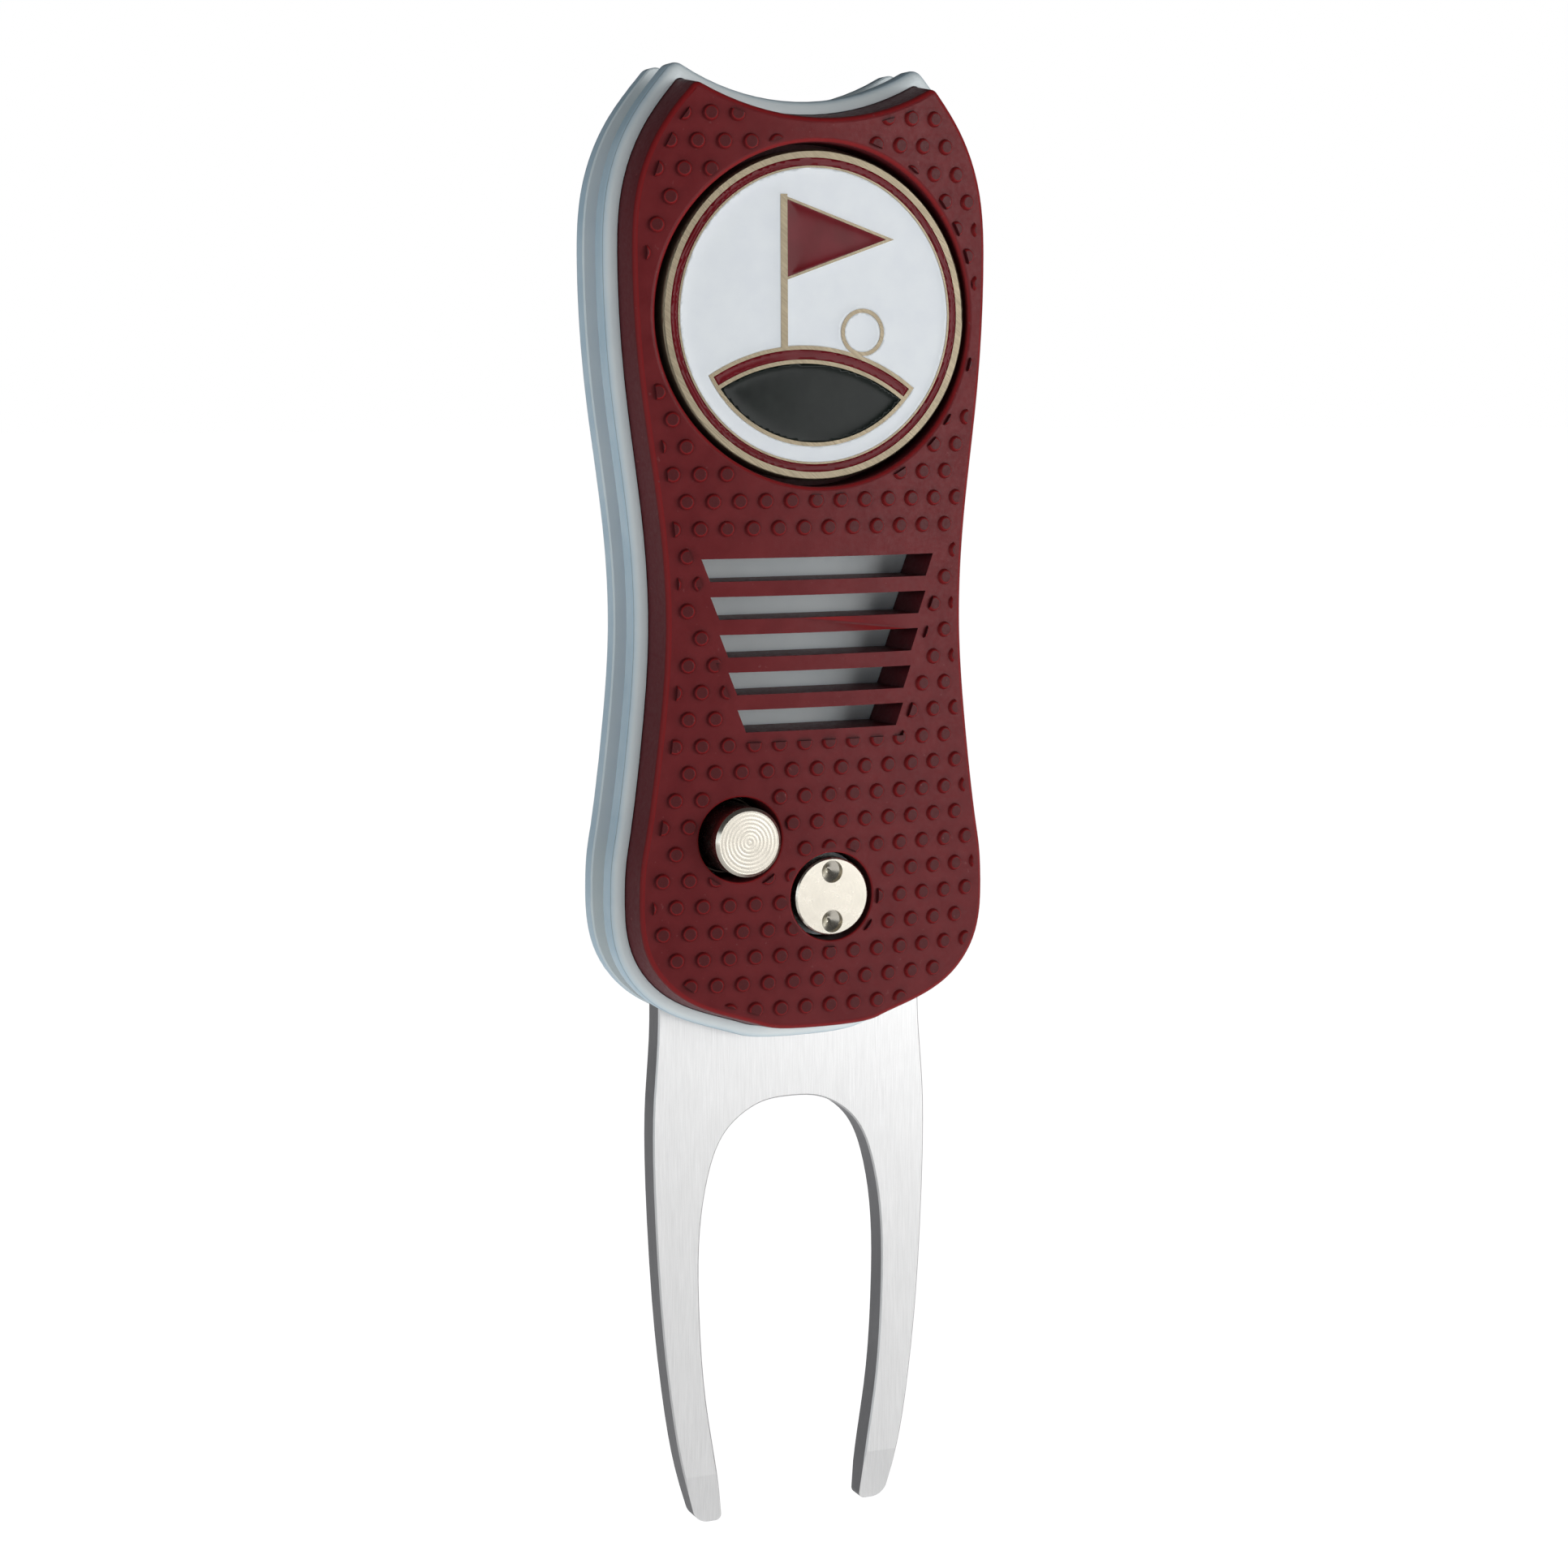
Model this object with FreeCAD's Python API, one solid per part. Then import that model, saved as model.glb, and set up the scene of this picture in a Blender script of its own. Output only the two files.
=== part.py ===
"""Flip-out divot repair tool: a two-pronged fork that folds 180 degrees into a handle.

Millimetres. +Z runs up the handle, away from the prongs, and the front faces -Y. The origin is the
middle of the handle's waist, on the middle plane of the fork's plate.
"""

import math
import os

import FreeCAD
import Part

V = FreeCAD.Vector
UP = V(0, 0, 1)
BACK = V(0, 1, 0)

# Layers through the handle, measured from the middle plane to the front. The rear half mirrors them.
FORK_HALF = 1.1
INNER_FACE = 1.35
TRAY_FLOOR = 2.45
LEDGE = 3.45
CROWN_TOP = 7.75
CROWN_R = 62.8

# Outline of the cover's face: the right-hand side as (half-width, height), from horn to bottom.
SIDE = [
    (6.6, 43.9), (9.76, 40.33), (12.35, 36.9), (14.1, 32.4), (14.5, 27.0), (13.9, 17.0),
    (12.65, 7.0), (12.3, -1.0), (12.8, -8.0), (14.0, -17.0), (14.43, -21.9),
]
BOTTOM = [(14.43, -21.9), (13.5, -26.5), (10.8, -29.3), (5.7, -31.3), (0, -32.0)]
ARC_Z = 58.15
ARC_R = 20.3
HORN_ROUND = 0.6
SHELL_HORN_ROUND = 1.0
SHELL_OFFSET = 1.45
COVER_FOOT = 0.37
WALL_DRAFT = 0.12
TRAY_FIT = 0.05
FACE_ROUND = 0.45
LEDGE_ROUND = 0.85
SEAT_ROUND = 0.35
HOLE_ROUND = 0.15

# Grip bumps, on a staggered lattice.
BUMP_X0 = 0.482
BUMP_PITCH_X = 2.054
BUMP_Z0 = 7.0
BUMP_PITCH_Z = 2.0606
BUMP_FOOT_R = 0.62
BUMP_TOP_R = 0.48
BUMP_HIGH = 0.3
BUMP_ROUND = 0.1
BUMP_EDGE = 0.85
BUMP_SINK = 0.3
BUMP_LEAST = 0.15
BUMP_ROWS = range(-19, 17)
BUMP_COLUMNS = range(-8, 8)
BORDER_STEP = 0.15
SEAT_BORDER = 0.6
HOLE_BORDER = 0.5
SLOT_BORDER = 0.8

# Grille slots: trapezoids that narrow towards the pivot.
SLOTS = 5
SLOT_TOP_Z = 4.73
SLOT_PITCH = 2.885
SLOT_HIGH = 1.73
SLOT_HALF = 9.69
SLOT_STEP = 0.68
SLOT_SLANT = 0.66

# Ball marker, its seat and its magnet.
MARKER_Z = 23.0
MARKER_R = 12.5
SEAT_R = 12.95
SEAT_FLOOR = 4.35
COIN_FRONT = 6.54
COIN_BACK = 4.38
COIN_ROUND = 0.18
RING_OUT = 11.85
RING_IN = 11.25
FIELD_R = 11.1
ENAMEL_DEEP = 0.25
ENAMEL_LOW = 0.03
EMBLEM_LINE = 0.3
GROUND_R = 9.6
HILL = (-1.0, -17.0)
HILL_R = 13.4
RIDGE_WIDE = 0.75
POLE_U = -2.6
POLE_HALF = 0.28
POLE_LOW = -3.2
POLE_TOP = 9.1
FLAG_TOP = 8.7
FLAG_LOW = 2.9
FLAG_TIP = (5.9, 5.8)
FLAG_TIP_GROWTH = 2.2
BALL = (3.9, -1.25)
BALL_R = 1.5
MAGNET_R = 5.0
MAGNET_FRONT = 4.3
KEEPER_FRONT = 2.75

# Pivot.
PIVOT = (0.72, -21.63)
PIVOT_HEAD_R = 3.05
PIVOT_HOLE_R = 3.45
PIVOT_BOSS_R = 3.3
HEAD_SEAT = 5.75
JOURNAL_R = 2.0
JOURNAL_FRONT = -5.45
FORK_BORE_R = 2.05
THREAD_R = 1.0
MANDREL_R = 2.5
SPRING_R = 3.3
SPRING_WIRE_R = 0.35
SPRING_ROOM_R = 4.2
NOTCH_INTO = 0.4
NOTCH_FRONT = -5.6
NOTCH_WIDE = 1.6
NOTCH_DEEP = 1.2
NOTCH_HIGH = 1.0
REAR_BOSS_R = 4.7
REAR_HOLE_R = 4.85
SPANNER_R = 0.88
SPANNER_HALF = 1.95
SPANNER_DEEP = 0.6
SPANNER_CONE = 0.45

# Release button.
BUTTON = (-6.75, -16.8)
BUTTON_R = 2.68
BUTTON_HOLE_R = 3.3
BUTTON_FRONT = 9.09
BUTTON_CHAMFER = 0.25
GUIDE_R = 3.08
NECK_R = 1.3
COLLAR_R = 2.45
COLLAR_FRONT = 0.4
FLANGE_R = 3.1
HOUSING_R = 4.1
HOUSING_BORE_R = 3.25
HOUSING_TOP = 6.0
LID_HIGH = 0.5
SKIRT_DEEP = 0.7
SKIRT_THICK = 0.35
NECK_FRONT = -2.9
FLANGE_FRONT = 2.5
FLANGE_BACK = 3.3
BUTTON_BORE_R = 1.6
BUTTON_BORE_END = 0.6
BUTTON_SPRING_R = 1.15
BUTTON_WIRE_R = 0.17
BUTTON_TURNS = 6
GUIDE_FRONT = 4.2
RUN_FIT = 0.05
TANG_R = 6.2

# Fork: the right-hand outline as (half-width, height).
PRONG_OUTSIDE = [
    (11.25, -28.2), (11.3, -33.0), (11.7, -38.5), (11.78, -43.0), (11.6, -49.0), (11.1, -57.0),
    (10.45, -63.0), (9.6, -68.2), (8.3, -73.2),
]
PRONG_INSIDE = [
    (6.05, -73.2), (6.45, -69.8), (7.4, -63.5), (7.95, -56.0), (7.9, -49.5), (7.1, -44.5),
    (5.5, -41.0), (3.0, -39.2), (0, -38.75),
]
TIP_Z = -73.2
TIP_HALF = 0.65
TIP_OUTER_ROUND = 1.4
TIP_INNER_ROUND = 0.5
FORK_EDGE = 0.12
TIP_TAPER = 4.0
LEFT_SHOULDER_Z = -18.8
RIGHT_SHOULDER_Z = -28.2
LEG_HOLE_R = 0.45
LEG_FRONT = -0.7
TAIL_LONG = 1.3
LEG_ANGLE = 200
SPRING_TURNS = 4 + 160 / 360
MANDREL_START = 1.3
SCREW_END = 3.5
THREAD_RUNOUT = 0.5
FRONT_WASHER_R = 4.5
REAR_WASHER_R = 2.8

# Fasteners.
SCREWS = [(-11.75, -12.0), (-12.2, 19.0), (-9.3, 36.0), (9.3, 36.0)]
SCREW_R = 0.7
SCREW_HEAD_R = 1.25
SCREW_HEAD_HIGH = 0.8
SCREW_ROUND = 0.3
CROSS_LONG = 1.4
CROSS_WIDE = 0.32
CROSS_DEEP = 0.45
POCKET_FIT = 0.15
NUT_ACROSS = 3.0 / math.sqrt(3)
NUT_HIGH = 0.9
PEGS = [(11.0, -2.0), (-11.0, -2.0), (8.2, 7.8), (-8.2, 7.8), (-1.5, -28.4), (9.5, -24.0)]
PEG_R = 1.0
PEG_END = 1.45
PEG_ROOT = 0.5

# Left-hand spine between the shells.
SPINE_OUT = -0.1
SPINE_IN = -1.7
SPINE_LOW = -17.5
SPINE_HIGH = 36.0
SPINE_BOSS_R = 1.6
STANDOFF_R = 2.0

# Flat pad on the rear cover.
PAD_R = 8.0
PAD_Y = 8.05
PAD_ROUND = 0.25

# Edge breaks and clearances shared by several pieces.
EDGE_BREAK = 0.12
SLIP = 0.02


def rod(x, z, radius, y0, y1):
    """A round bar along Y between y0 and y1."""
    return Part.makeCylinder(radius, y1 - y0, V(x, y0, z), BACK)


def tube(x, z, outer, inner, y0, y1):
    return rod(x, z, outer, y0, y1).cut(rod(x, z, inner, y0 - 1, y1 + 1))


def mirrored(shape):
    """The same shape on the other side of the middle plane."""
    return shape.mirror(V(0, 0, 0), BACK)


def spline(points, first=None, last=None):
    curve = Part.BSplineCurve()
    if first is None:
        curve.interpolate(Points=points, FinalTangent=last, InitialTangent=points[1] - points[0])
    else:
        curve.interpolate(Points=points, InitialTangent=first, FinalTangent=last)
    return curve


def moved_curve(points, first, last, offset, y, side):
    """A stretch of the outline moved outwards by offset, on the right for side 1, else the left."""
    base = [V(x, 0, z) for x, z in points]
    curve = spline(base, first, last)
    moved = []
    for p in base:
        tangent = curve.tangent(curve.parameter(p))[0]
        out = V(p.x - tangent.z * offset, y, p.z + tangent.x * offset)
        moved.append(V(side * out.x, out.y, out.z))
    if first is not None:
        first = V(side * first.x, 0, first.z)
    return spline(moved, first, V(side * last.x, 0, last.z)).toShape(), moved[0]


def outline_wire(offset, y):
    """The handle's outline, open across the top where the arc cuts it."""
    edges = []
    ends = []
    for side in (1, -1):
        upper, end = moved_curve(SIDE, None, V(0, 0, -1), offset, y, side)
        lower, _ = moved_curve(BOTTOM, V(0, 0, -1), V(-1, 0, 0), offset, y, side)
        edges += [upper, lower]
        ends.append(end)
    edges.append(Part.LineSegment(*ends).toShape())
    return Part.Wire(Part.__sortEdges__(edges))


def slab(offset, y0, y1):
    """The handle's outline as a plate between y0 and y1, sharp at the horns."""
    body = Part.Face(outline_wire(offset, y0)).extrude(V(0, y1 - y0, 0))
    return body.cut(rod(0, ARC_Z, ARC_R - offset, y0 - 1, y1 + 1))


def horn_edges(shape):
    """The edges that run through the thickness at the two horn tips."""
    found = []
    for edge in shape.Edges:
        box = edge.BoundBox
        through = box.YLength > 0.5
        if through and box.ZMin > SIDE[1][1] - 2 and abs(box.Center.x) > 5:
            found.append(edge)
    return found


def plate(offset, y0, y1, horn_round=HORN_ROUND):
    """The handle's outline as a plate with rounded horns."""
    sharp = slab(offset, y0, y1)
    return sharp.makeFillet(horn_round, horn_edges(sharp))


def edges_at(shape, y):
    return [e for e in shape.Edges if abs(e.BoundBox.YMin - y) < 1e-4 and e.BoundBox.YLength < 1e-4]


def crown_y(x):
    """Height of the crowned front face."""
    return -CROWN_TOP + CROWN_R - math.sqrt(CROWN_R**2 - x * x)


def crown_solid():
    """Everything behind the crowned front face."""
    centre = V(0, CROWN_R - CROWN_TOP, -60)
    return Part.makeCylinder(CROWN_R, 120, centre, UP)


def blank():
    """A front cover before its openings: drafted walls under a crowned face with a rounded edge."""
    high = CROWN_TOP + 0.5
    shrink = COVER_FOOT - (high - LEDGE) * WALL_DRAFT
    walls = Part.makeLoft([outline_wire(COVER_FOOT, -LEDGE), outline_wire(shrink, -high)], True, True)
    cone = Part.makeCone(ARC_R - COVER_FOOT, ARC_R - shrink, high - LEDGE, V(0, -LEDGE, ARC_Z), V(0, -1, 0))
    walls = walls.cut(cone)
    walls = walls.makeFillet(HORN_ROUND, horn_edges(walls))
    walls = walls.common(crown_solid())
    walls = walls.makeFillet(FACE_ROUND, crown_face(walls).OuterWire.Edges)
    return walls.fuse(plate(COVER_FOOT, -LEDGE, -TRAY_FLOOR)).removeSplitter()


def crown_face(body):
    """The crowned face of a cover."""
    round_faces = [f for f in body.Faces if f.Surface.TypeId == "Part::GeomCylinder"]
    return max((f for f in round_faces if f.Surface.Radius == CROWN_R), key=lambda f: f.Area)


def soften_openings(body):
    """Rounds the front edges of the round openings, the wide seat more than the small ones."""
    for radius, least, most in [(SEAT_ROUND, SEAT_R, 2.5 * SEAT_R), (HOLE_ROUND, 0, SEAT_R)]:
        wires = [w for w in crown_face(body).Wires if len(w.Edges) == 1]
        edges = [w.Edges[0] for w in wires if least < w.BoundBox.ZLength < most]
        body = body.makeFillet(radius, edges)
    return body


def slot_corners(k, grow=0.0):
    """The four corners of slot k, counted from the top, made larger all round by grow."""
    top = SLOT_TOP_Z - k * SLOT_PITCH
    low = top - SLOT_HIGH
    wide = SLOT_HALF - k * SLOT_STEP
    narrow = wide - SLOT_SLANT
    lean = SLOT_SLANT / SLOT_HIGH * grow
    wide += grow + lean
    narrow += grow - lean
    return [(-wide, top + grow), (wide, top + grow), (narrow, low - grow), (-narrow, low - grow)]


def prism(corners, y0, y1):
    """A straight-sided block along Y from its corners."""
    points = [V(x, y0, z) for x, z in corners]
    return Part.Face(Part.makePolygon(points + points[:1])).extrude(V(0, y1 - y0, 0))


def bump_shape():
    """One grip bump: a cone that starts below the plane z = 0, with a rounded top."""
    lean = (BUMP_FOOT_R - BUMP_TOP_R) / BUMP_HIGH
    root = V(BUMP_FOOT_R + lean * BUMP_SINK, 0, -BUMP_SINK)
    corner = V(BUMP_TOP_R, 0, BUMP_HIGH)
    side = V(lean, 0, -1)
    side.normalize()
    onto_side = corner + side * BUMP_ROUND
    onto_top = corner - V(BUMP_ROUND, 0, 0)
    middle = corner * 0.5 + (onto_side + onto_top) * 0.25
    edges = [
        Part.LineSegment(V(0, 0, -BUMP_SINK), root).toShape(),
        Part.LineSegment(root, onto_side).toShape(),
        Part.Arc(onto_side, middle, onto_top).toShape(),
        Part.LineSegment(onto_top, V(0, 0, BUMP_HIGH)).toShape(),
        Part.LineSegment(V(0, 0, BUMP_HIGH), V(0, 0, -BUMP_SINK)).toShape(),
    ]
    return Part.Face(Part.Wire(edges)).revolve(V(0, 0, 0), UP, 360)


def placed_bump(bump, x, z):
    """A bump standing square on the crowned face."""
    lean = math.degrees(math.asin(x / CROWN_R))
    turn = FreeCAD.Rotation(UP, lean).multiply(FreeCAD.Rotation(V(1, 0, 0), 90))
    copy = bump.copy()
    copy.Placement = FreeCAD.Placement(V(x, crown_y(x), z), turn)
    return copy


def lattice():
    """The centres of every bump position under the outline."""
    for k in BUMP_ROWS:
        shift = 0.5 * (k % 2)
        for n in BUMP_COLUMNS:
            x = BUMP_X0 + BUMP_PITCH_X * (n + shift)
            if abs(x) < SIDE[4][0]:
                yield x, BUMP_Z0 + BUMP_PITCH_Z * k


def bumps(keep_out):
    """Bumps over the face, cut off where they reach its smooth borders or the keep-out shapes."""
    area = slab(-BUMP_EDGE, -CROWN_TOP - 1, -CROWN_TOP + 4)
    for shape in keep_out:
        area = area.cut(shape)
    level = area.BoundBox.YMax
    flats = [f for f in area.Faces if f.BoundBox.YLength < 1e-4 and f.BoundBox.YMin > -CROWN_TOP]
    rim = [p for f in flats for wire in f.Wires for p in wire.discretize(Distance=BORDER_STEP)]
    one = bump_shape()
    full = one.Volume
    found = []
    for x, z in lattice():
        centre = V(x, level, z)
        bump = placed_bump(one, x, z)
        if min(centre.distanceToPoint(p) for p in rim) < BUMP_FOOT_R:
            found += [piece for piece in bump.common(area).Solids if piece.Volume > BUMP_LEAST * full]
        elif area.isInside(centre - BACK, 1e-4, False):
            found.append(bump)
    return found


def screw_pockets(radius, deep):
    """Room under a cover for the screw heads or for the nuts."""
    top = -TRAY_FLOOR - deep - POCKET_FIT
    return [rod(x, z, radius + POCKET_FIT, top, 0) for x, z in SCREWS]


def pegs():
    return [rod(x, z, PEG_R, -TRAY_FLOOR - PEG_ROOT, -PEG_END) for x, z in PEGS]


def slots(y0, y1, grow=0.0):
    return [prism(slot_corners(k, grow), y0, y1) for k in range(SLOTS)]


def front_cover():
    """The grip on the front: bumps, grille, marker seat, and holes for the pivot and the button."""
    front = -CROWN_TOP - 1
    body = blank()
    seat = rod(0, MARKER_Z, SEAT_R, front, -SEAT_FLOOR)
    magnet = rod(0, MARKER_Z, MAGNET_R + RUN_FIT, -SEAT_FLOOR - 1, -TRAY_FLOOR + 1)
    pivot = rod(*PIVOT, PIVOT_HOLE_R, front, 0)
    button = rod(*BUTTON, BUTTON_HOLE_R, front, 0)
    pockets = screw_pockets(SCREW_HEAD_R, SCREW_HEAD_HIGH)
    for tool in [seat, magnet, pivot, button] + slots(front, 0) + pockets:
        body = body.cut(tool)
    body = soften_openings(body).multiFuse(pegs())
    keep_out = [
        rod(0, MARKER_Z, SEAT_R + SEAT_BORDER, front - 1, 0),
        rod(*PIVOT, PIVOT_HOLE_R + HOLE_BORDER, front - 1, 0),
        rod(*BUTTON, BUTTON_HOLE_R + HOLE_BORDER, front - 1, 0),
    ]
    return body.multiFuse(bumps(keep_out + slots(front - 1, 0, SLOT_BORDER)))


def rear_cover():
    """The grip on the back: bumps, grille, a flat round pad to lie on, and the pivot's head."""
    front = -CROWN_TOP - 1
    body = blank()
    room = rod(*BUTTON, HOUSING_R + POCKET_FIT, -HOUSING_TOP - LID_HIGH - POCKET_FIT, 0)
    pivot = rod(*PIVOT, REAR_HOLE_R, front, 0)
    for tool in [pivot, room] + slots(front, 0) + screw_pockets(NUT_ACROSS, NUT_HIGH):
        body = body.cut(tool)
    pad = rod(0, MARKER_Z, PAD_R, -PAD_Y, -CROWN_TOP + 2)
    pad = pad.makeFillet(PAD_ROUND, edges_at(pad, -PAD_Y))
    body = body.multiFuse(pegs() + [pad])
    keep_out = [
        rod(0, MARKER_Z, PAD_R + HOLE_BORDER, front - 1, 0),
        rod(*PIVOT, REAR_HOLE_R + HOLE_BORDER, front - 1, 0),
    ]
    return mirrored(body.multiFuse(bumps(keep_out + slots(front - 1, 0, SLOT_BORDER))))


def shell_half():
    """A tray that the cover sits in, with a rounded ledge and a broken edge at the fork's gap."""
    body = plate(SHELL_OFFSET, -LEDGE, -INNER_FACE, SHELL_HORN_ROUND)
    body = body.makeFillet(LEDGE_ROUND, edges_at(body, -LEDGE))
    body = body.makeChamfer(EDGE_BREAK, edges_at(body, -INNER_FACE))
    body = body.cut(plate(COVER_FOOT + TRAY_FIT, -LEDGE - 1, -TRAY_FLOOR))
    for x, z in PEGS:
        body = body.cut(rod(x, z, PEG_R + SLIP, -TRAY_FLOOR - 1, 0))
    for x, z in SCREWS:
        body = body.cut(rod(x, z, SCREW_R + RUN_FIT, -TRAY_FLOOR - 1, 0))
    return body


def front_shell():
    body = shell_half().fuse(rod(*PIVOT, PIVOT_BOSS_R, -HEAD_SEAT, -INNER_FACE))
    body = body.cut(rod(*PIVOT, JOURNAL_R + RUN_FIT, -HEAD_SEAT - 1, 0))
    return body.cut(rod(*BUTTON, GUIDE_R + SLIP / 2, -TRAY_FLOOR - 1, 0))


def rear_shell():
    """The rear tray, with the torsion spring's boss and the button's housing standing on it."""
    body = shell_half()
    body = body.fuse(rod(*PIVOT, REAR_BOSS_R, -HEAD_SEAT, -INNER_FACE))
    body = body.fuse(rod(*BUTTON, HOUSING_R, -HOUSING_TOP, -INNER_FACE))
    body = body.cut(rod(*PIVOT, SPRING_ROOM_R, -HEAD_SEAT - 1, 0))
    body = body.cut(rod(*BUTTON, HOUSING_BORE_R, -HOUSING_TOP - 1, -TRAY_FLOOR))
    body = body.cut(rod(*BUTTON, COLLAR_R + RUN_FIT, -HOUSING_TOP - 1, 0))
    corner = V(PIVOT[0] + SPRING_ROOM_R - NOTCH_INTO, NOTCH_FRONT, PIVOT[1] - NOTCH_HIGH / 2)
    notch = Part.makeBox(NOTCH_WIDE, NOTCH_DEEP, NOTCH_HIGH, corner)
    return mirrored(body.cut(notch))


def spine():
    """The strip that keeps the shells apart along the left, with a boss for each screw."""
    band = slab(SPINE_OUT, -INNER_FACE, INNER_FACE).cut(slab(SPINE_IN, -INNER_FACE - 1, INNER_FACE + 1))
    tall = SPINE_HIGH - SPINE_LOW
    left = Part.makeBox(30, 4, tall, V(-32, -2, SPINE_LOW))
    body = band.common(left)
    for x, z in SCREWS[:3]:
        radius = STANDOFF_R if z > 30 else SPINE_BOSS_R
        boss = rod(x, z, radius, -INNER_FACE, INNER_FACE)
        body = body.fuse(boss.common(slab(SPINE_OUT, -INNER_FACE, INNER_FACE)))
    for x, z in SCREWS[:3]:
        body = body.cut(rod(x, z, SCREW_R + RUN_FIT, -2, 2))
    return body.removeSplitter()


def horn_standoff():
    x, z = SCREWS[3]
    return tube(x, z, STANDOFF_R, SCREW_R + RUN_FIT, -INNER_FACE, INNER_FACE)


def prong_edges(side):
    """The outline of one prong, on the right for side 1 and on the left for side -1."""
    outside = [V(side * x, -FORK_HALF, z) for x, z in PRONG_OUTSIDE]
    inside = [V(side * x, -FORK_HALF, z) for x, z in PRONG_INSIDE]
    inwards = V(-side, 0, 0)
    outer = spline(outside, V(0, 0, -1), outside[-1] - outside[-2])
    inner = spline(inside, inside[1] - inside[0], inwards)
    tip = Part.LineSegment(outside[-1], inside[0])
    return [outer.toShape(), tip.toShape(), inner.toShape()]


def fork_blank():
    """Both prongs and the two shoulders as a plate, before the tang is shaped."""
    wide = PRONG_OUTSIDE[0][0]
    corners = [
        (wide, RIGHT_SHOULDER_Z), (PIVOT[0], RIGHT_SHOULDER_Z), (PIVOT[0], LEFT_SHOULDER_Z),
        (-wide, LEFT_SHOULDER_Z), (-wide, RIGHT_SHOULDER_Z),
    ]
    points = [V(x, -FORK_HALF, z) for x, z in corners]
    edges = [Part.LineSegment(a, b).toShape() for a, b in zip(points, points[1:])]
    edges += prong_edges(1) + prong_edges(-1)
    body = Part.Face(Part.Wire(Part.__sortEdges__(edges))).extrude(V(0, 2 * FORK_HALF, 0))
    for radius, at in [(TIP_OUTER_ROUND, PRONG_OUTSIDE[-1][0]), (TIP_INNER_ROUND, PRONG_INSIDE[0][0])]:
        ends = [e for e in body.Edges if e.BoundBox.YLength > 1 and abs(e.BoundBox.ZMin - TIP_Z) < 0.1]
        corner = [e for e in ends if abs(abs(e.BoundBox.Center.x) - at) < 0.3]
        body = body.makeFillet(radius, corner)
    return body


def around_pivot(point, degrees):
    """A point turned about the pivot, in the plane of the fork."""
    turn = math.radians(degrees)
    x = point[0] - PIVOT[0]
    z = point[1] - PIVOT[1]
    return (
        PIVOT[0] + x * math.cos(turn) - z * math.sin(turn),
        PIVOT[1] + x * math.sin(turn) + z * math.cos(turn),
    )


def spring_leg():
    """Where the torsion spring's leg goes through the fork."""
    return around_pivot((PIVOT[0] + SPRING_R, PIVOT[1]), LEG_ANGLE)


def collar_path():
    """The half ring that the button's collar sweeps past the fork, drawn in the fork's own frame."""
    reach = math.hypot(BUTTON[0] - PIVOT[0], BUTTON[1] - PIVOT[1])
    stop_r = COLLAR_R + RUN_FIT
    ring = tube(*PIVOT, reach + stop_r, reach - stop_r, -2, 2)
    near = [PIVOT[i] + (BUTTON[i] - PIVOT[i]) * 3 for i in (0, 1)]
    corners = [near, around_pivot(near, 180)]
    side = [2 * (around_pivot(near, -90)[i] - PIVOT[i]) for i in (0, 1)]
    corners += [(x + side[0], z + side[1]) for x, z in reversed(corners)]
    path = ring.common(prism(corners, -2, 2))
    return path.fuse([rod(*BUTTON, stop_r, -2, 2), rod(*around_pivot(BUTTON, 180), stop_r, -2, 2)])


def fork():
    """The fork: the tang turns past the button's collar, and a shoulder stops on it at each end."""
    body = fork_blank().cut(collar_path())
    body = body.fuse(rod(*PIVOT, TANG_R, -FORK_HALF, FORK_HALF)).removeSplitter()
    body = body.makeChamfer(FORK_EDGE, edges_at(body, -FORK_HALF) + edges_at(body, FORK_HALF))
    for side in (1, -1):
        low = [V(-20, side * FORK_HALF, TIP_Z + TIP_TAPER), V(-20, side * TIP_HALF, TIP_Z)]
        out = V(0, side * 2, 0)
        wedge = Part.makePolygon([low[0], low[1] - UP, low[1] + out, low[0] + out, low[0]])
        body = body.cut(Part.Face(wedge).extrude(V(40, 0, 0)))
    body = body.cut(rod(*PIVOT, FORK_BORE_R, -2, 2))
    return body.cut(rod(*spring_leg(), LEG_HOLE_R, -2, 2))


def thrust_washer(outer, y0, y1):
    return tube(*PIVOT, outer, FORK_BORE_R, y0, y1)


def pivot_head(radius):
    """A round head facing forwards, with two drilled spanner holes that have cone bottoms."""
    head = rod(*PIVOT, radius, -CROWN_TOP, -HEAD_SEAT)
    head = head.makeChamfer(EDGE_BREAK, edges_at(head, -CROWN_TOP))
    end = -CROWN_TOP + SPANNER_DEEP
    for side in (1, -1):
        z = PIVOT[1] + side * SPANNER_HALF
        head = head.cut(rod(PIVOT[0], z, SPANNER_R, -CROWN_TOP - 1, end))
        head = head.cut(Part.makeCone(SPANNER_R, 0, SPANNER_CONE, V(PIVOT[0], end, z), BACK))
    return head


def pivot_screw():
    """The front half of the pivot: a flush spanner head and a threaded shank."""
    shank = rod(*PIVOT, THREAD_R - SLIP, -HEAD_SEAT, SCREW_END)
    return pivot_head(PIVOT_HEAD_R).fuse(shank).removeSplitter()


def pivot_barrel():
    """The rear half of the pivot: head, spring mandrel and the journal the fork turns on."""
    body = mirrored(pivot_head(REAR_BOSS_R)).fuse(rod(*PIVOT, MANDREL_R, MANDREL_START, HEAD_SEAT))
    body = body.fuse(rod(*PIVOT, JOURNAL_R, JOURNAL_FRONT, MANDREL_START)).removeSplitter()
    return body.cut(rod(*PIVOT, THREAD_R, -HEAD_SEAT - 1, SCREW_END + THREAD_RUNOUT))


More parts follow.
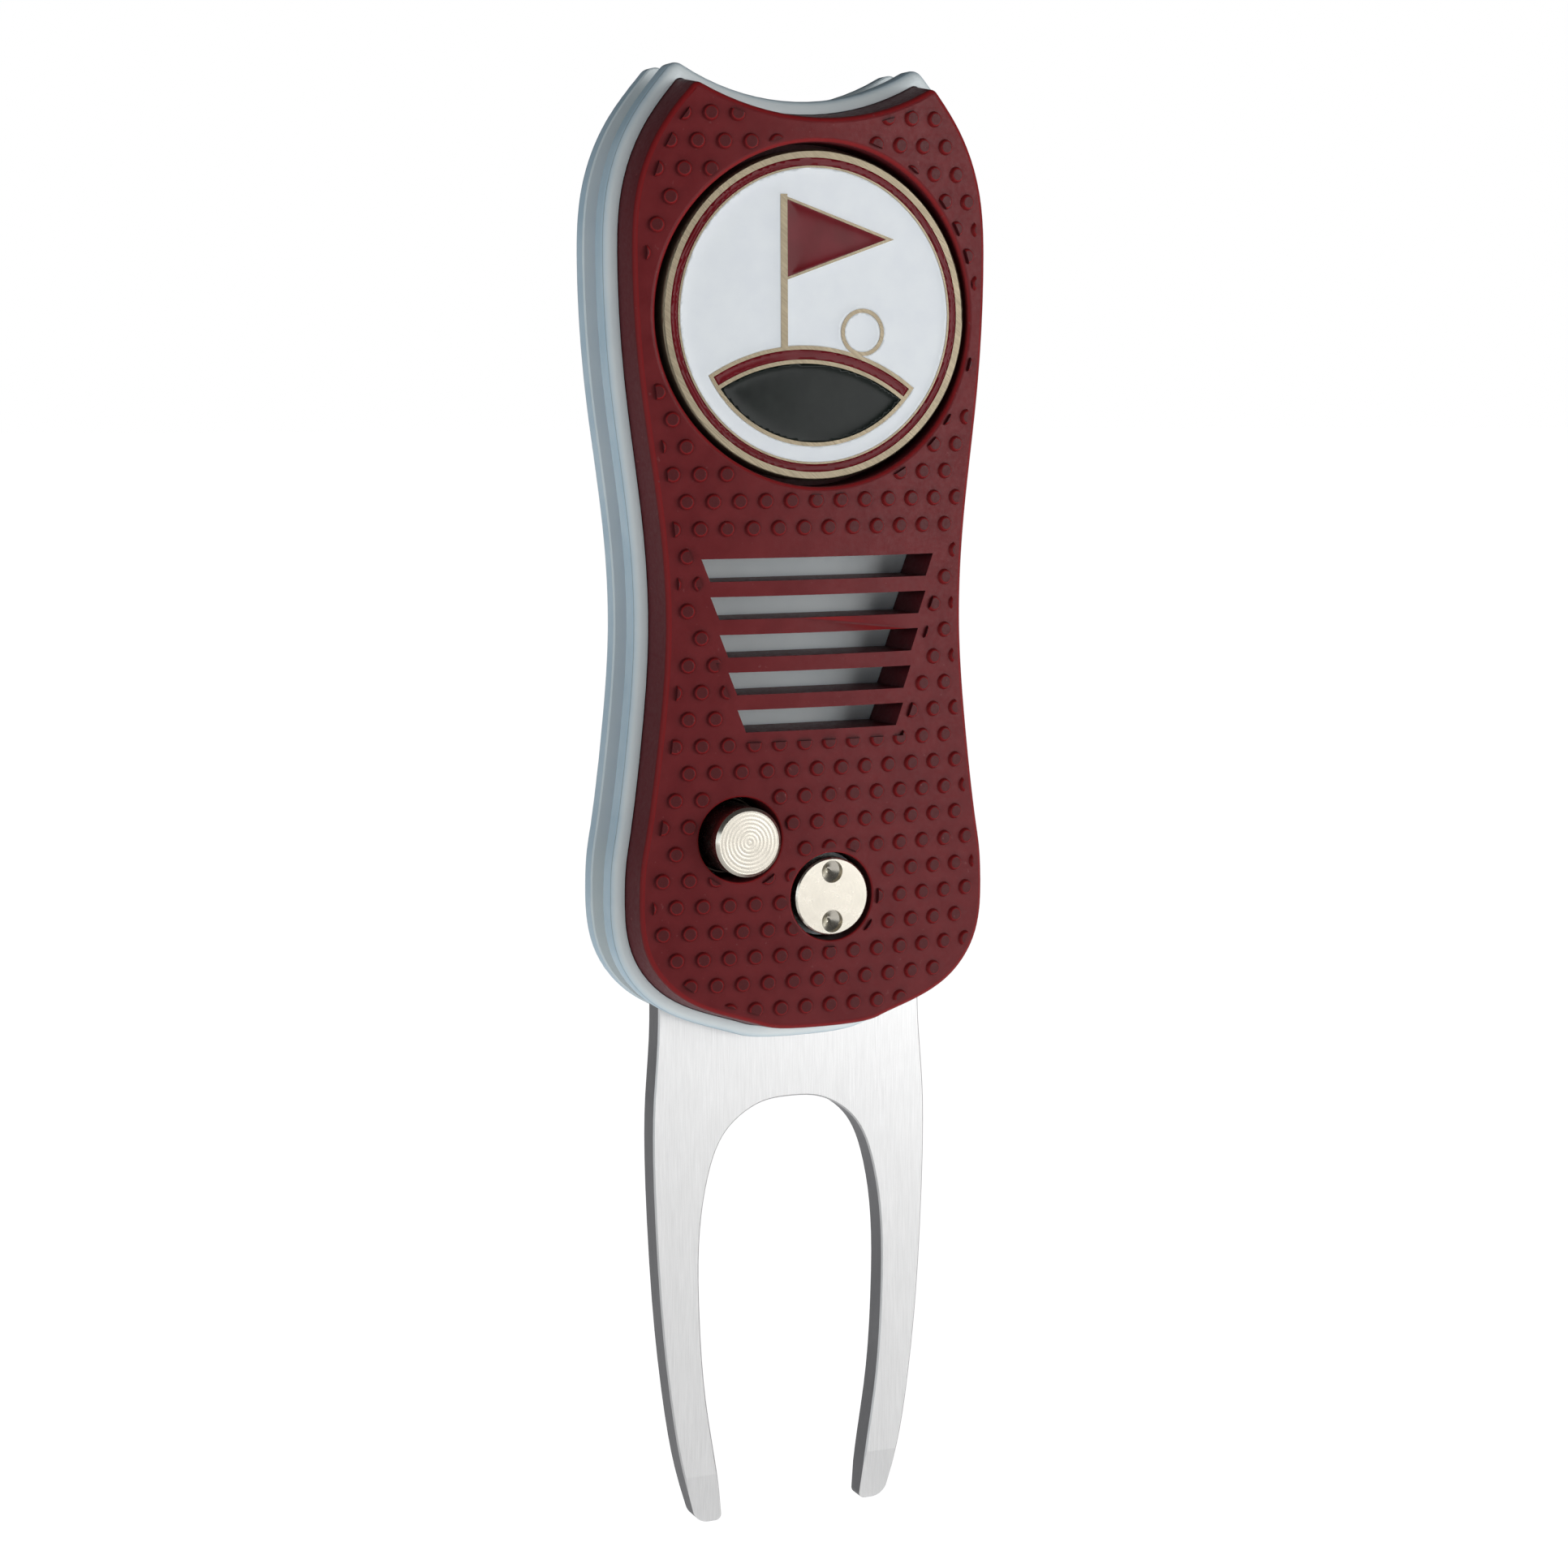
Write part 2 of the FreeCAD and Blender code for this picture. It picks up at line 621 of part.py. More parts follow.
def coil(x, z, radius, wire, y0, turns, pitch):
    """A helical spring about an axis along Y, starting on the +X side."""
    path = Part.makeHelix(pitch, pitch * turns, radius)
    start = Part.Wire(Part.makeCircle(wire, V(radius, 0, 0), BACK))
    solid = Part.Wire(path).makePipeShell([start], True, True)
    solid.rotate(V(0, 0, 0), V(1, 0, 0), -90)
    solid.translate(V(x, y0, z))
    return solid


def torsion_spring():
    """The spring that throws the fork open: one leg in the fork's hole, one in the rear boss."""
    start = INNER_FACE + SPRING_WIRE_R + RUN_FIT
    pitch = 2 * SPRING_WIRE_R + RUN_FIT
    body = coil(*PIVOT, SPRING_R, SPRING_WIRE_R, start, SPRING_TURNS, pitch)
    body.rotate(V(PIVOT[0], 0, PIVOT[1]), V(0, -1, 0), LEG_ANGLE)
    x, z = spring_leg()
    leg = rod(x, z, SPRING_WIRE_R, LEG_FRONT, start)
    elbow = Part.makeSphere(SPRING_WIRE_R, V(x, start, z))
    end = V(PIVOT[0] + SPRING_R, start + pitch * SPRING_TURNS, PIVOT[1])
    tail = Part.makeCylinder(SPRING_WIRE_R, TAIL_LONG, end, V(1, 0, 0))
    return body.multiFuse([leg, elbow, tail, Part.makeSphere(SPRING_WIRE_R, end)])


def release_button():
    """The plunger: a cap to press, a neck the tang can pass, a locking collar and a flange."""
    cap = rod(*BUTTON, BUTTON_R, -BUTTON_FRONT, NECK_FRONT)
    cap = cap.makeChamfer(BUTTON_CHAMFER, edges_at(cap, -BUTTON_FRONT))
    parts = [
        rod(*BUTTON, NECK_R, NECK_FRONT, -COLLAR_FRONT),
        rod(*BUTTON, COLLAR_R, -COLLAR_FRONT, FLANGE_FRONT),
        rod(*BUTTON, FLANGE_R, FLANGE_FRONT, FLANGE_BACK),
    ]
    body = cap.multiFuse(parts).removeSplitter()
    return body.cut(rod(*BUTTON, BUTTON_BORE_R, BUTTON_BORE_END, FLANGE_BACK + 1))


def button_guide():
    """The ferrule in the front shell that the cap slides in."""
    sleeve = tube(*BUTTON, GUIDE_R, BUTTON_R + RUN_FIT, -GUIDE_FRONT, -INNER_FACE)
    return sleeve.makeChamfer(EDGE_BREAK, edges_at(sleeve, -GUIDE_FRONT))


def button_spring():
    room = HOUSING_TOP - BUTTON_BORE_END - 2 * (BUTTON_WIRE_R + SLIP)
    start = BUTTON_BORE_END + BUTTON_WIRE_R + SLIP
    return coil(*BUTTON, BUTTON_SPRING_R, BUTTON_WIRE_R, start, BUTTON_TURNS, room / BUTTON_TURNS)


def spring_cap():
    """The lid on the button's housing, which the button's spring pushes on."""
    lid = rod(*BUTTON, HOUSING_R, HOUSING_TOP, HOUSING_TOP + LID_HIGH)
    lid = lid.makeChamfer(EDGE_BREAK, edges_at(lid, HOUSING_TOP + LID_HIGH))
    inner = HOUSING_BORE_R - SKIRT_THICK
    skirt = tube(*BUTTON, HOUSING_BORE_R - SLIP / 2, inner, HOUSING_TOP - SKIRT_DEEP, HOUSING_TOP)
    return lid.fuse(skirt)


def body_screws():
    """Four pan-head screws through the shells, with cross recesses."""
    solids = []
    for x, z in SCREWS:
        top = -TRAY_FLOOR - SCREW_HEAD_HIGH
        head = rod(x, z, SCREW_HEAD_R, top, -TRAY_FLOOR)
        head = head.makeFillet(SCREW_ROUND, edges_at(head, top))
        for wide, tall in ((CROSS_LONG, CROSS_WIDE), (CROSS_WIDE, CROSS_LONG)):
            head = head.cut(Part.makeBox(wide, CROSS_DEEP, tall, V(x - wide / 2, top, z - tall / 2)))
        shank = rod(x, z, SCREW_R, -TRAY_FLOOR, TRAY_FLOOR + NUT_HIGH)
        solids.append(head.fuse(shank).removeSplitter())
    return Part.Compound(solids)


def body_nuts():
    solids = []
    turns = [math.radians(60 * k) for k in range(6)]
    for x, z in SCREWS:
        corners = [(x + NUT_ACROSS * math.cos(t), z + NUT_ACROSS * math.sin(t)) for t in turns]
        nut = prism(corners, TRAY_FLOOR, TRAY_FLOOR + NUT_HIGH)
        solids.append(nut.cut(rod(x, z, SCREW_R + SLIP / 2, 0, 5)))
    return Part.Compound(solids)


def marker_magnet():
    magnet = rod(0, MARKER_Z, MAGNET_R, -MAGNET_FRONT, -KEEPER_FRONT)
    return magnet.makeChamfer(EDGE_BREAK, edges_at(magnet, -MAGNET_FRONT))


def magnet_keeper():
    return rod(0, MARKER_Z, MAGNET_R, -KEEPER_FRONT, -TRAY_FLOOR)


def disc(u, v, radius, y0, y1):
    """A round bar placed from the middle of the marker."""
    return rod(u, MARKER_Z + v, radius, y0, y1)


def inlay(u, v, radius):
    """A round region as deep as the enamel, open at the marker's front."""
    return disc(u, v, radius, -COIN_FRONT - 1, -COIN_FRONT + ENAMEL_DEEP)


def inlay_prism(corners):
    shifted = [(u, MARKER_Z + v) for u, v in corners]
    return prism(shifted, -COIN_FRONT - 1, -COIN_FRONT + ENAMEL_DEEP)


def emblem_hill(rise, grow=0.0):
    """The part of a circle under a hill's arc, with the arc raised by rise."""
    return inlay(0, 0, GROUND_R + grow).common(inlay(*HILL, HILL_R + rise))


def emblem_flag(grow=0.0):
    """The pennant that flies from the pole."""
    near = POLE_U + POLE_HALF - grow
    tip = (FLAG_TIP[0] + FLAG_TIP_GROWTH * grow, FLAG_TIP[1])
    return inlay_prism([(near, FLAG_TOP + grow), tip, (near, FLAG_LOW - grow)])


def emblem_pole():
    left = POLE_U - POLE_HALF
    right = POLE_U + POLE_HALF
    return inlay_prism([(left, POLE_LOW), (right, POLE_LOW), (right, POLE_TOP), (left, POLE_TOP)])


def enamel_shapes():
    """Each enamel fill as a region along Y, bounded by the raised metal lines around it."""
    line = EMBLEM_LINE
    ridge = line + RIDGE_WIDE
    ball_line = inlay(*BALL, BALL_R + line)
    field = inlay(0, 0, FIELD_R)
    for shape in [emblem_hill(ridge + line, line), emblem_flag(line), emblem_pole(), ball_line]:
        field = field.cut(shape)
    return {
        "enamel_ring": inlay(0, 0, RING_OUT).cut(inlay(0, 0, RING_IN)),
        "enamel_field": field,
        "enamel_ground": emblem_hill(0),
        "enamel_ridge": emblem_hill(ridge).cut(emblem_hill(line, line)),
        "enamel_flag": emblem_flag().cut(emblem_pole()),
        "enamel_ball": inlay(*BALL, BALL_R),
    }


def coin_parts():
    """The marker coin with its enamel fills, front and back."""
    coin = rod(0, MARKER_Z, MARKER_R, -COIN_FRONT, -COIN_BACK)
    coin = coin.makeFillet(COIN_ROUND, edges_at(coin, -COIN_FRONT) + edges_at(coin, -COIN_BACK))
    below = disc(0, 0, MARKER_R, -COIN_FRONT + ENAMEL_LOW, 0)
    made = {}
    for name, region in enamel_shapes().items():
        coin = coin.cut(region)
        made[name] = region.common(below)
    back = disc(0, 0, FIELD_R, -COIN_BACK - ENAMEL_DEEP, 0)
    coin = coin.cut(back)
    made["enamel_reverse"] = back.common(disc(0, 0, MARKER_R, -COIN_FRONT, -COIN_BACK - ENAMEL_LOW))
    made["marker_coin"] = coin
    return made


def main():
    os.makedirs("parts", exist_ok=True)
    parts = {
        "front_cover": front_cover(),
        "rear_cover": rear_cover(),
        "front_shell": front_shell(),
        "rear_shell": rear_shell(),
        "spine": spine(),
        "horn_standoff": horn_standoff(),
        "fork": fork(),
        "pivot_screw": pivot_screw(),
        "pivot_barrel": pivot_barrel(),
        "thrust_washer_front": thrust_washer(FRONT_WASHER_R, -INNER_FACE + SLIP, -FORK_HALF - SLIP),
        "thrust_washer_rear": thrust_washer(REAR_WASHER_R, FORK_HALF + SLIP, MANDREL_START - SLIP),
        "torsion_spring": torsion_spring(),
        "release_button": release_button(),
        "button_guide": button_guide(),
        "button_spring": button_spring(),
        "spring_cap": spring_cap(),
        "body_screws": body_screws(),
        "body_nuts": body_nuts(),
        "marker_magnet": marker_magnet(),
        "magnet_keeper": magnet_keeper(),
    }
    parts.update(coin_parts())
    for name, shape in parts.items():
        shape.exportStep(f"parts/{name}.step")
        print(name, shape.isValid(), len(shape.Solids), round(shape.Volume, 2))


main()
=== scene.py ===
"""Looks for a flip-out divot repair tool: materials, inlaid enamel, light and camera."""

import math

import bmesh
import bpy
from mathutils import Matrix, Vector
from mathutils.bvhtree import BVHTree
from mathutils.geometry import delaunay_2d_cdt
from mathutils.kdtree import KDTree

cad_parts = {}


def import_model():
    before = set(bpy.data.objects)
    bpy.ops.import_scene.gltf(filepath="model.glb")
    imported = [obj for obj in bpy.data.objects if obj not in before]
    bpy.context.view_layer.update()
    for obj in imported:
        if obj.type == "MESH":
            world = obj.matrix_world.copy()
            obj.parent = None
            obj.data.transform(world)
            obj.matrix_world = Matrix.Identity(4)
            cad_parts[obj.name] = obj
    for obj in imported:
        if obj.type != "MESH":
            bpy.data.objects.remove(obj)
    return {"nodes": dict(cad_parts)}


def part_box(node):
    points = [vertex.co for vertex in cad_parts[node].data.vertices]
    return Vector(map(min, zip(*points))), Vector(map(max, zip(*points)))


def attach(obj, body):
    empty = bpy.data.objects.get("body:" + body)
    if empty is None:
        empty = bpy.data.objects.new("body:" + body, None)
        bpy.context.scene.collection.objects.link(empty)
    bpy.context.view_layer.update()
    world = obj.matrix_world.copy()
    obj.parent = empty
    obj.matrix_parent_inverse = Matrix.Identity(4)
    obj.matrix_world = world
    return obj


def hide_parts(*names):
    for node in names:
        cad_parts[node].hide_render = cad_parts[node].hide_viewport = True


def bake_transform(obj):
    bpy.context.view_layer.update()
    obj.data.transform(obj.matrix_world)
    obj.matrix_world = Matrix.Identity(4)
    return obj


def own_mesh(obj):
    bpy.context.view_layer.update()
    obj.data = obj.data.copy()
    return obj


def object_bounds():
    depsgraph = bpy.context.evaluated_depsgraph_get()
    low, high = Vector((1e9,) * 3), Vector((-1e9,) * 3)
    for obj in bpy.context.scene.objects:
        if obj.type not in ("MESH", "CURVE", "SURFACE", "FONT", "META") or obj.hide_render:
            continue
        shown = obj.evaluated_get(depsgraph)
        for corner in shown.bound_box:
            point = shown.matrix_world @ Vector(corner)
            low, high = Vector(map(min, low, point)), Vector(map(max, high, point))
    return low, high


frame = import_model()
CAD_LOW, CAD_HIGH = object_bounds()
NODES = frame["nodes"]
MM = 0.001
TO_MM = 1000

# Millimetres, repeated from the part: its crown.
CROWN_TOP = 7.75
CROWN_R = 62.8

# Millimetres, chosen here: the shells' painted seam.
SHELL_SEAM_Y = 2.92

# Enamel surfaces: steps and reach in millimetres, then row height and clearance as parts of a step.
BORDER_STEP = 0.05
GRID_PITCH = 0.22
MENISCUS_REACH = 0.3
ROW_HEIGHT = 0.87
CLEAR_OF_BORDER = 0.35

# Tolerances, in metres.
SAME_POINT = 1e-7
WELD_GAP = 2e-7
FLAT_WITHIN = 1e-6
ON_SURFACE = 5e-6
MESHING_EPSILON = 1e-8

# Floor, lights and camera: lengths in metres, lens and sensor in millimetres, power in watts.
FLOOR_RADIUS = 6.0
FLOOR_GAP = 0.0004
FLOOR_GLOW_LIGHT = 0.55
FLOOR_GLOW_SEEN = 0.95
WORLD_LIGHT = 0.07
LIGHT_TARGET = (0, 0, -0.01)
KEY_AT = (0.50, -0.60, 0.09)
KEY_SIZE = (0.5, 0.32)
KEY_POWER = 2.6
FILL_AT = (-0.62, -0.35, 0.05)
FILL_SIZE = (0.5, 0.3)
FILL_POWER = 0.7
FILL_COLOR = (0.88, 0.95, 1.0)
LENS = 73.05
SENSOR = 36.0
CAMERA_AT = (-0.09805, -0.23083, 0.01796)
CAMERA_RIGHT = (0.92024, -0.39136, -0.00397)
CAMERA_UP = (0.05261, 0.11365, 0.99214)
CAMERA_BACK = (-0.38783, -0.91321, 0.12517)


# ---------------------------------------------------------------- material helpers


class Shader:
    """A small builder for one node material."""

    def __init__(self, name, color, metallic=0.0, roughness=0.5, **more):
        self.mat = bpy.data.materials.new(name)
        self.mat.use_nodes = True
        self.tree = self.mat.node_tree
        self.main = self.tree.nodes["Principled BSDF"]
        self.main.inputs["Base Color"].default_value = (*color, 1)
        self.main.inputs["Metallic"].default_value = metallic
        self.main.inputs["Roughness"].default_value = roughness
        for key, value in more.items():
            self.main.inputs[key.replace("_", " ")].default_value = value
        given = self.tree.nodes.new("ShaderNodeTexCoord").outputs
        self.coord = given["Object"]
        self.normal = given["Normal"]

    def node(self, kind, links=None, values=None, **props):
        n = self.tree.nodes.new("ShaderNode" + kind)
        for key, value in props.items():
            setattr(n, key, value)
        for key, value in (values or {}).items():
            n.inputs[key].default_value = value
        for key, value in (links or {}).items():
            self.tree.links.new(value, n.inputs[key])
        return n

    def place(self, scale=(1, 1, 1), location=(0, 0, 0), rotation=(0, 0, 0)):
        """Object coordinates in millimetres, moved, turned and stretched."""
        mm = self.node("VectorMath", {0: self.coord}, operation="MULTIPLY")
        mm.inputs[1].default_value = (TO_MM, TO_MM, TO_MM)
        shift = self.node("VectorMath", {0: mm.outputs[0]}, operation="SUBTRACT")
        shift.inputs[1].default_value = location
        turned = self.node("Mapping", {"Vector": shift.outputs[0]}, {"Rotation": rotation})
        return self.node("Mapping", {"Vector": turned.outputs[0]}, {"Scale": scale}).outputs[0]

    def noise(self, vector, scale=1.0, detail=3.0, roughness=0.5):
        values = {"Scale": scale, "Detail": detail, "Roughness": roughness}
        return self.node("TexNoise", {"Vector": vector}, values).outputs["Fac"]

    def ramp(self, value, low, high, out_low=0.0, out_high=1.0):
        values = {1: low, 2: high, 3: out_low, 4: out_high}
        return self.node("MapRange", {0: value}, values).outputs[0]

    def mix(self, factor, a, b):
        n = self.node("Mix", {0: factor}, data_type="RGBA")
        for socket, value in ((n.inputs[6], a), (n.inputs[7], b)):
            if isinstance(value, tuple):
                socket.default_value = (*value, 1)
            else:
                self.tree.links.new(value, socket)
        return n.outputs[2]

    def math(self, operation, a, b):
        n = self.tree.nodes.new("ShaderNodeMath")
        n.operation = operation
        for socket, value in ((n.inputs[0], a), (n.inputs[1], b)):
            if isinstance(value, (int, float)):
                socket.default_value = value
            else:
                self.tree.links.new(value, socket)
        return n.outputs[0]

    def facing(self):
        """1 on faces square to Y, 0 on the walls between them."""
        along = self.node("SeparateXYZ", {0: self.normal}).outputs[1]
        return self.math("ABSOLUTE", along, 0)

    def crevice_shade(self, reach):
        """Near 0 in corners and gaps narrower than reach millimetres, 1 in the open; it paints shade
        into colour.
        """
        return self.node("AmbientOcclusion", values={"Distance": reach * MM}, samples=6).outputs["AO"]

    def color(self, socket):
        self.tree.links.new(socket, self.main.inputs["Base Color"])

    def rough(self, socket):
        self.tree.links.new(socket, self.main.inputs["Roughness"])

    def bump(self, height, depth_mm, strength=1.0):
        links = {"Height": height}
        if self.main.inputs["Normal"].links:
            links["Normal"] = self.main.inputs["Normal"].links[0].from_socket
        values = {"Strength": strength, "Distance": depth_mm * MM}
        n = self.node("Bump", links, values)
        self.tree.links.new(n.outputs[0], self.main.inputs["Normal"])


def dress(shader, *names):
    """Gives the CAD nodes this one material."""
    for name in names:
        mesh = NODES[name].data
        mesh.materials.clear()
        mesh.materials.append(shader.mat)


# ---------------------------------------------------------------- materials


def above_crown(s):
    """Height in millimetres above the crowned face of either cover."""
    mm = s.node("SeparateXYZ", {0: s.place()})
    x, y = mm.outputs[0], mm.outputs[1]
    square = s.math("MULTIPLY", x, x)
    drop = s.math("SQRT", s.math("SUBTRACT", CROWN_R * CROWN_R, square), 0)
    face = s.math("ADD", drop, CROWN_TOP - CROWN_R)
    return s.math("SUBTRACT", s.math("ABSOLUTE", y, 0), face)


def grip_plastic():
    s = Shader("grip", (0.15, 0.012, 0.016), roughness=0.45, Specular_IOR_Level=0.16)
    s.main.inputs["Subsurface Weight"].default_value = 0.08
    s.main.inputs["Subsurface Radius"].default_value = (1.0, 0.12, 0.1)
    s.main.inputs["Subsurface Scale"].default_value = 0.6 * MM
    fine = s.place()
    cloud = s.noise(fine, 0.45, 4.0, 0.55)
    specks = s.ramp(s.noise(fine, 2.6, 2.0), 0.71, 0.76)
    body = s.mix(s.ramp(cloud, 0.35, 0.65), (0.140, 0.011, 0.014), (0.165, 0.016, 0.019))
    tops = s.ramp(above_crown(s), 0.20, 0.28)
    body = s.mix(tops, body, (0.095, 0.012, 0.014))
    facing = s.facing()
    # Faces sloping between the front and the walls are painted a brighter red: a painted highlight.
    slope_highlight = s.math("MULTIPLY", s.ramp(facing, 0.30, 0.50), s.ramp(facing, 0.90, 0.97, 1.0, 0.0))
    # Walls not square to Y are painted a darker red: painted shade.
    body = s.mix(s.ramp(facing, 0.15, 0.45, 1.0, 0.0), body, (0.120, 0.015, 0.020))
    body = s.mix(s.math("MULTIPLY", slope_highlight, 0.8), body, (0.26, 0.012, 0.014))
    body = s.mix(specks, body, (0.19, 0.040, 0.042))
    # Corners, gaps and bump feet are painted a near-black red: painted shade.
    s.color(s.mix(s.ramp(s.crevice_shade(0.7), 0.35, 0.9), (0.035, 0.004, 0.005), body))
    s.rough(s.ramp(s.noise(fine, 3.0, 4.0), 0.3, 0.7, 0.38, 0.52))
    s.bump(s.noise(fine, 9.0, 3.0, 0.6), 0.02, 0.35)
    s.bump(s.noise(fine, 0.8, 2.0), 0.14, 0.2)
    return s


def shell_plastic():
    s = Shader("shell", (0.56, 0.67, 0.73), roughness=0.34, Specular_IOR_Level=0.35)
    fine = s.place()
    tint = s.ramp(s.noise(fine, 0.25, 3.0), 0.35, 0.65)
    ledge = s.mix(tint, (0.82, 0.90, 0.92), (0.86, 0.93, 0.94))
    # Faces square to Y get the pale plastic; walls get a darker, bluer colour: painted shade.
    painted_wall_shading = s.mix(tint, (0.50, 0.68, 0.80), (0.58, 0.75, 0.86))
    body = s.mix(s.ramp(s.facing(), 0.25, 0.85), painted_wall_shading, ledge)
    y = s.math("ABSOLUTE", s.node("SeparateXYZ", {0: fine}).outputs[1], 0)
    off = s.math("ABSOLUTE", s.math("SUBTRACT", y, SHELL_SEAM_Y), 0)
    waver = s.math("ADD", off, s.math("MULTIPLY", s.noise(fine, 1.5, 2.0), 0.02))
    line = s.ramp(waver, 0.03, 0.06, 1.0, 0.0)
    body = s.mix(s.math("MULTIPLY", line, 0.55), body, (0.20, 0.27, 0.31))
    # Corners and gaps are painted a dark blue: painted shade.
    s.color(s.mix(s.ramp(s.crevice_shade(0.45), 0.1, 0.6), (0.12, 0.19, 0.27), body))
    s.rough(s.ramp(s.noise(fine, 1.6, 4.0), 0.3, 0.7, 0.28, 0.44))
    s.bump(line, -0.03, 0.5)
    s.bump(s.noise(fine, 5.0, 3.0), 0.015, 0.3)
    return s


def spine_plastic():
    s = Shader("spine", (0.16, 0.26, 0.40), roughness=0.5)
    fine = s.place()
    s.color(s.mix(s.noise(fine, 0.6), (0.13, 0.23, 0.36), (0.19, 0.29, 0.43)))
    s.bump(s.noise(fine, 5.0, 3.0), 0.015, 0.3)
    return s


def brushed(name, color, scale, rotation, roughness, depth, contrast, painted_wall_shading):
    """Metal with parallel brush lines, and walls between its faces painted a plainer colour of their
    own: painted shade where it is darker than the faces, painted light where it is lighter.
    """
    s = Shader(name, color, 1.0, roughness[0])
    lines = s.noise(s.place(scale, rotation=rotation), 1.0, 5.0, 0.7)
    wide = s.noise(s.place(tuple(0.2 * v for v in scale), rotation=rotation), 1.0, 3.0)
    blotch = s.noise(s.place(), 0.35, 3.0)
    darker = tuple(contrast * c for c in color)
    faces = s.mix(s.ramp(lines, 0.3, 0.7), darker, color)
    square = s.ramp(s.facing(), 0.3, 0.9)
    # Walls take the given colour in place of the brush lines: painted light and shade by face angle.
    s.color(s.mix(square, painted_wall_shading, faces))
    both = s.math("ADD", s.math("MULTIPLY", lines, 0.6), s.math("MULTIPLY", wide, 0.4))
    patch = s.math("ADD", both, s.math("MULTIPLY", blotch, 0.3))
    polished = s.ramp(patch, 0.4, 0.9, *roughness)
    s.rough(s.math("ADD", polished, s.math("MULTIPLY", s.math("SUBTRACT", 1.0, square), 0.2)))
    s.bump(lines, depth, 0.5)
    return s


def turned_nickel(name, centre, depth, contrast):
    """Warm nickel with turning rings round an axis along Y."""
    s = Shader(name, (0.70, 0.66, 0.57), 1.0, 0.26)
    at = s.place(location=centre)
    flat = s.node("VectorMath", {0: at}, operation="MULTIPLY")
    flat.inputs[1].default_value = (1, 0, 1)
    radius = s.node("VectorMath", {0: flat.outputs[0]}, operation="LENGTH").outputs[1]
    groove = s.math("SINE", s.math("MULTIPLY", radius, 21.0), 0)
    uneven = s.noise(s.node("CombineXYZ", {0: radius}).outputs[0], 3.0, 4.0)
    rings = s.math("ADD", s.math("MULTIPLY", groove, 0.25), uneven)
    light = (0.67, 0.63, 0.55)
    s.color(s.mix(s.ramp(rings, 0.2, 0.8), tuple(contrast * c for c in light), light))
    s.rough(s.ramp(s.noise(s.place(), 1.5, 4.0), 0.3, 0.7, 0.2, 0.30))
    s.bump(rings, depth, 0.6)
    return s


def enamel(name, color, deep):
    s = Shader(name, color, roughness=0.12, Specular_IOR_Level=0.10)
    swirl = s.ramp(s.noise(s.place(), 0.5, 3.0), 0.35, 0.65)
    s.color(s.mix(swirl, deep, color))
    s.bump(s.noise(s.place(), 0.35, 2.0), 0.05, 0.15)
    return s


def plain_metal(name, color, roughness):
    s = Shader(name, color, 1.0, roughness)
    fine = s.place()
    s.color(s.mix(s.noise(fine, 1.2, 4.0), tuple(0.8 * c for c in color), color))
    s.rough(s.ramp(s.noise(fine, 4.0, 3.0), 0.3, 0.7, roughness * 0.8, roughness * 1.3))
    s.bump(s.noise(fine, 10.0, 3.0), 0.008, 0.4)
    return s


grip = grip_plastic()
shell = shell_plastic()
# The fork's walls are painted dark grey: painted shade.
steel = brushed(
    "steel", (0.82, 0.82, 0.82), (14.0, 3.0, 0.35), (0, 0, 0), (0.28, 0.42), 0.012, 0.86,
    (0.25, 0.25, 0.26),
)
# The coin's walls are painted lighter than its faces: painted light.
coin_metal = brushed(
    "coin", (0.22, 0.185, 0.13), (8.0, 8.0, 0.4), (0, math.radians(50), 0), (0.25, 0.4), 0.03, 0.6,
    (0.28, 0.24, 0.17),
)
button_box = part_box("release_button")
pivot_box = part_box("pivot_screw")
button_at = tuple((button_box[0] + button_box[1]) / 2 * TO_MM)
pivot_at = tuple((pivot_box[0] + pivot_box[1]) / 2 * TO_MM)
button_metal = turned_nickel("button", button_at, 0.012, 0.82)
pivot_metal = turned_nickel("pivot", pivot_at, 0.0003, 0.97)
white = enamel("enamel_white", (0.86, 0.90, 0.93), (0.83, 0.87, 0.91))
maroon = enamel("enamel_maroon", (0.155, 0.008, 0.014), (0.125, 0.006, 0.010))
dark = enamel("enamel_dark", (0.008, 0.012, 0.010), (0.005, 0.008, 0.007))
black = plain_metal("black_oxide", (0.035, 0.026, 0.022), 0.35)
spring_metal = plain_metal("spring", (0.42, 0.43, 0.45), 0.3)
screw_metal = plain_metal("screw", (0.55, 0.55, 0.57), 0.32)
bronze = plain_metal("bronze", (0.62, 0.42, 0.22), 0.28)
magnet_metal = plain_metal("magnet", (0.68, 0.68, 0.69), 0.2)

dress(grip, "front_cover", "rear_cover")
dress(shell, "front_shell", "rear_shell")
dress(spine_plastic(), "spine", "horn_standoff")
dress(steel, "fork")
dress(pivot_metal, "pivot_screw", "pivot_barrel")
dress(button_metal, "release_button")
dress(black, "button_guide")
dress(spring_metal, "torsion_spring", "button_spring", "spring_cap")
dress(screw_metal, "body_screws", "body_nuts", "magnet_keeper")
dress(bronze, "thrust_washer_front", "thrust_washer_rear")
dress(magnet_metal, "marker_magnet")
dress(coin_metal, "marker_coin")


# ---------------------------------------------------------------- enamel


def top_region(mesh, side):
    """The flat outer faces of an enamel fill."""
    level = max(side * f.calc_center_median().y for f in mesh.faces)
    return [f for f in mesh.faces if abs(side * f.calc_center_median().y - level) < FLAT_WITHIN]


def border_samples(edges, step):
    """Points spread along the region's border, as (x, z)."""
    points = []
    for edge in edges:
        a, b = (v.co for v in edge.verts)
        parts = max(1, math.ceil((b - a).length / step))
        points += [a.lerp(b, k / parts) for k in range(parts)]
    return [Vector((p.x, 0, p.z)) for p in points]


def distance_to(samples):
    """A search tree over the border's points."""
    tree = KDTree(len(samples))
    for k, point in enumerate(samples):
        tree.insert(point, k)
    tree.balance()
    return tree


